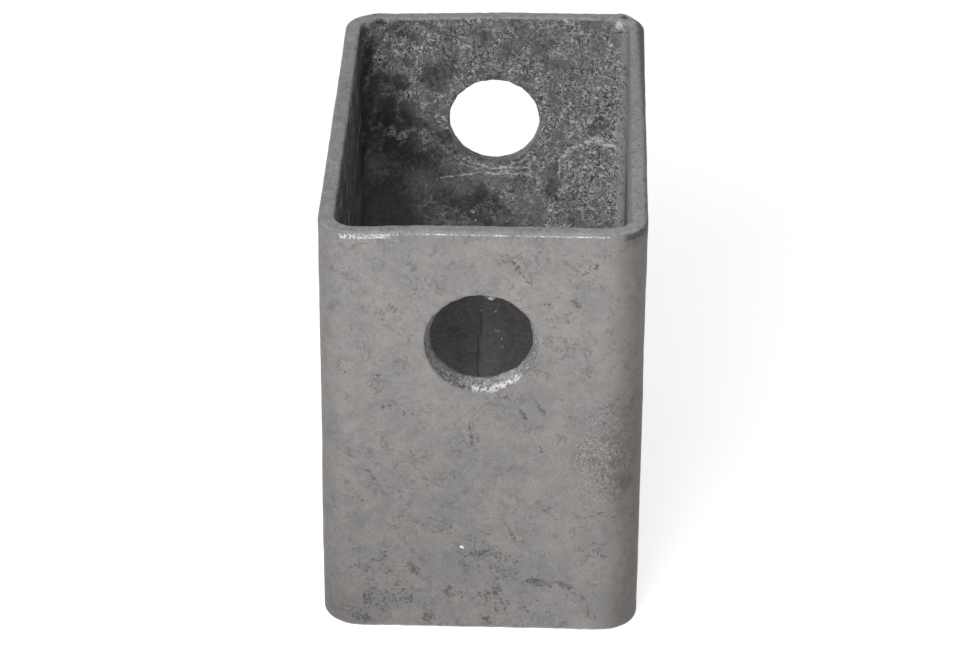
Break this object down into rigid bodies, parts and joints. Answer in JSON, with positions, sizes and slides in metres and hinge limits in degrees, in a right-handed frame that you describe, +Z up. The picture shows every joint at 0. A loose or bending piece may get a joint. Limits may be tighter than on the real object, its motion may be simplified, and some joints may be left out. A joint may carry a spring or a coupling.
{
  "type": "post socket tube",
  "caption": "Short galvanised rectangular steel tube, open at both ends, that sleeves a post foot and takes a cross bolt through round holes near its top.",
  "frame": {"origin": "on the ground plane, at the centre of the tube's footprint at its bottom end", "axes": "+Z up along the tube, +Y from front to back along the deeper side and the cross bolt's axis, +X across the narrow side"},
  "size_m": [0.05, 0.08, 0.071],
  "materials": {
    "galvanised_steel": "hot-dip galvanised: dull mottled grey zinc outside, darker blue-grey and coarsely crystalline inside"
  },
  "bodies": {
    "root": {"post_socket_tube": "galvanised_steel"}
  },
  "joints": []
}
